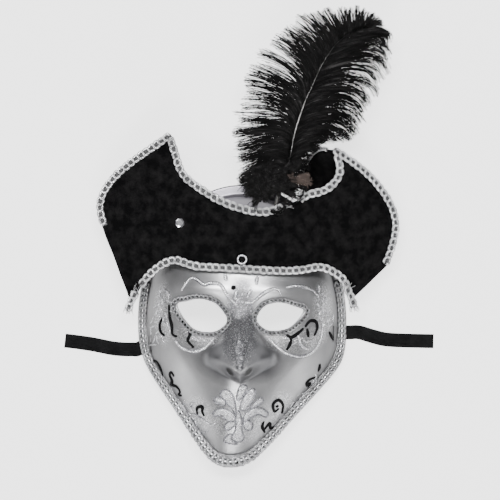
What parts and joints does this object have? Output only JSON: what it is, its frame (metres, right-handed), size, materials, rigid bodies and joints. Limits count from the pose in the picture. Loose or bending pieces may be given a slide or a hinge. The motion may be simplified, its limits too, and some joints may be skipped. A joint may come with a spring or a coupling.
{
  "type": "venetian masquerade mask",
  "caption": "Silver full-face carnival mask with pointed chin, braided black velvet hat front, ostrich feather, forehead ring and satin ties.",
  "frame": {"origin": "on the eye line, midway between the eyes, in the plane that the back rim rests on", "axes": "+X to the viewer's right, +Y up the face to the crown, +Z out of the face, away from the wearer"},
  "size_m": [0.3168, 0.3897, 0.0974],
  "materials": {
    "silver_shell": "satin",
    "silver_braid": "satin",
    "black_velvet": "matte",
    "brim_card": "matte",
    "plume": "satin",
    "quill": "satin",
    "stone": "gloss",
    "ring_wire": "satin",
    "black_satin": "satin"
  },
  "bodies": {
    "root": {"face_shell": "silver_shell", "edge_braid_left": "silver_braid", "edge_braid_right": "silver_braid", "eye_braid_left": "silver_braid", "eye_braid_right": "silver_braid", "chin_palmette": "silver_shell", "brim_card_front": "brim_card", "brim_velvet_front": "black_velvet", "brim_card_left": "brim_card", "brim_velvet_left": "black_velvet", "brim_card_right": "brim_card", "brim_velvet_right": "black_velvet", "forehead_braid": "silver_braid", "temple_braid_left": "silver_braid", "temple_braid_right": "silver_braid", "dip_braid_left": "silver_braid", "dip_braid_right": "silver_braid", "wing_braid_left": "silver_braid", "wing_braid_right": "silver_braid", "flap_braid_left": "silver_braid", "flap_braid_right": "silver_braid", "feather_quill": "quill", "feather_vane_left": "plume", "feather_vane_right": "plume", "feather_down": "plume", "brim_stud": "stone", "ring_eye": "ring_wire", "ribbon_anchor_left": "black_satin", "ribbon_anchor_right": "black_satin"},
    "ring": {"forehead_ring": "ring_wire"},
    "tie_left": {"ribbon_tail_left": "black_satin"},
    "tie_right": {"ribbon_tail_right": "black_satin"}
  },
  "joints": [
    {"name": "ring_flip", "type": "hinge", "parent": "root", "child": "ring", "pos_m": [0, 0.0439, 0.0715], "axis": [1, 0, 0], "range_deg": [0, 150]},
    {"name": "tie_left_swing", "type": "hinge", "parent": "root", "child": "tie_left", "pos_m": [-0.0925, -0.0295, 0.00045], "axis": [0, 1, 0], "range_deg": [0, 90]},
    {"name": "tie_right_swing", "type": "hinge", "parent": "root", "child": "tie_right", "pos_m": [0.0925, -0.015, 0.00045], "axis": [0, -1, 0], "range_deg": [0, 90]}
  ]
}
